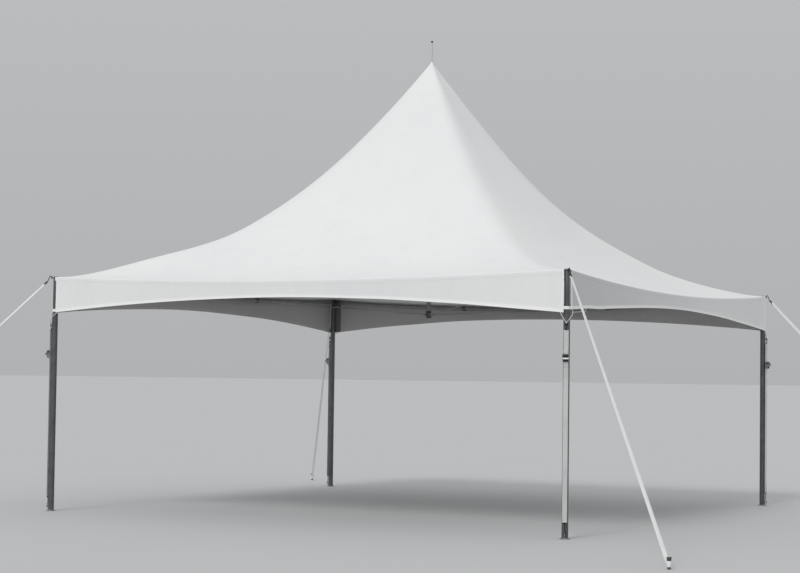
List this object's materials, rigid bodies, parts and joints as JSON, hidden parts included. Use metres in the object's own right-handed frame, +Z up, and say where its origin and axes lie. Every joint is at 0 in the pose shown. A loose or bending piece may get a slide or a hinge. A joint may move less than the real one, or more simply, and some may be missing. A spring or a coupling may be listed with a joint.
{
  "type": "high-peak marquee tent",
  "caption": "Square white high-peak marquee tent on four legs, with a mast on crossed cables, arched valances and guy straps.",
  "frame": {"origin": "on the ground at the tent's centre, under the mast", "axes": "+Z up, -Y towards the front valance, +X towards the right valance"},
  "size_m": [9.842, 10.542, 5.445],
  "materials": {
    "canopy_vinyl": "white coated polyester, satin",
    "frame_aluminium": "weathered extruded aluminium",
    "bracket_metal": "dull dark casting",
    "webbing": "woven polyester webbing and cord",
    "dark_steel": "dark weathered steel",
    "zinc_steel": "bright zinc-plated steel",
    "steel_cable": "galvanised wire rope",
    "finial_dark": "grey rod with a dark cap"
  },
  "bodies": {
    "tent": {"roof_front": "canopy_vinyl", "valance_front": "canopy_vinyl", "eave_rail_front": "frame_aluminium", "roof_right": "canopy_vinyl", "valance_right": "canopy_vinyl", "eave_rail_right": "frame_aluminium", "roof_back": "canopy_vinyl", "valance_back": "canopy_vinyl", "eave_rail_back": "frame_aluminium", "roof_left": "canopy_vinyl", "valance_left": "canopy_vinyl", "eave_rail_left": "frame_aluminium", "leg_front_right": "frame_aluminium", "corner_bracket_front_right": "bracket_metal", "guy_strap_front_right": "webbing", "leg_strap_front_right": "webbing", "bridle_front_right": "webbing", "stake_front_right": "dark_steel", "ratchet_front_right": "dark_steel", "mast_cable_front_right": "steel_cable", "leg_front_left": "frame_aluminium", "corner_bracket_front_left": "bracket_metal", "guy_strap_front_left": "webbing", "leg_strap_front_left": "webbing", "bridle_front_left": "webbing", "stake_front_left": "dark_steel", "ratchet_front_left": "dark_steel", "mast_cable_front_left": "steel_cable", "leg_back_left": "frame_aluminium", "corner_bracket_back_left": "bracket_metal", "guy_strap_back_left": "webbing", "leg_strap_back_left": "webbing", "bridle_back_left": "webbing", "stake_back_left": "dark_steel", "ratchet_back_left": "dark_steel", "mast_cable_back_left": "steel_cable", "leg_back_right": "frame_aluminium", "corner_bracket_back_right": "bracket_metal", "guy_strap_back_right": "webbing", "leg_strap_back_right": "webbing", "bridle_back_right": "webbing", "stake_back_right": "dark_steel", "ratchet_back_right": "dark_steel", "mast_cable_back_right": "steel_cable", "mast": "frame_aluminium", "mast_foot": "bracket_metal", "finial": "finial_dark"},
    "handle_front_right": {"ratchet_handle_front_right": "zinc_steel"},
    "handle_front_left": {"ratchet_handle_front_left": "zinc_steel"},
    "handle_back_left": {"ratchet_handle_back_left": "zinc_steel"},
    "handle_back_right": {"ratchet_handle_back_right": "zinc_steel"}
  },
  "joints": [
    {"name": "handle_hinge_front_right", "type": "hinge", "parent": "tent", "child": "handle_front_right", "pos_m": [3.0684, -3.11077, 1.735], "axis": [-0.9511, -0.309, 0], "range_deg": [0, 100]},
    {"name": "handle_hinge_front_left", "type": "hinge", "parent": "tent", "child": "handle_front_left", "pos_m": [-3.114, -3.048, 1.735], "axis": [0, 1, 0], "range_deg": [0, 100]},
    {"name": "handle_hinge_back_left", "type": "hinge", "parent": "tent", "child": "handle_back_left", "pos_m": [-3.114, 3.048, 1.735], "axis": [0, 1, 0], "range_deg": [0, 100]},
    {"name": "handle_hinge_back_right", "type": "hinge", "parent": "tent", "child": "handle_back_right", "pos_m": [3.114, 3.048, 1.735], "axis": [0, -1, 0], "range_deg": [0, 100]}
  ]
}
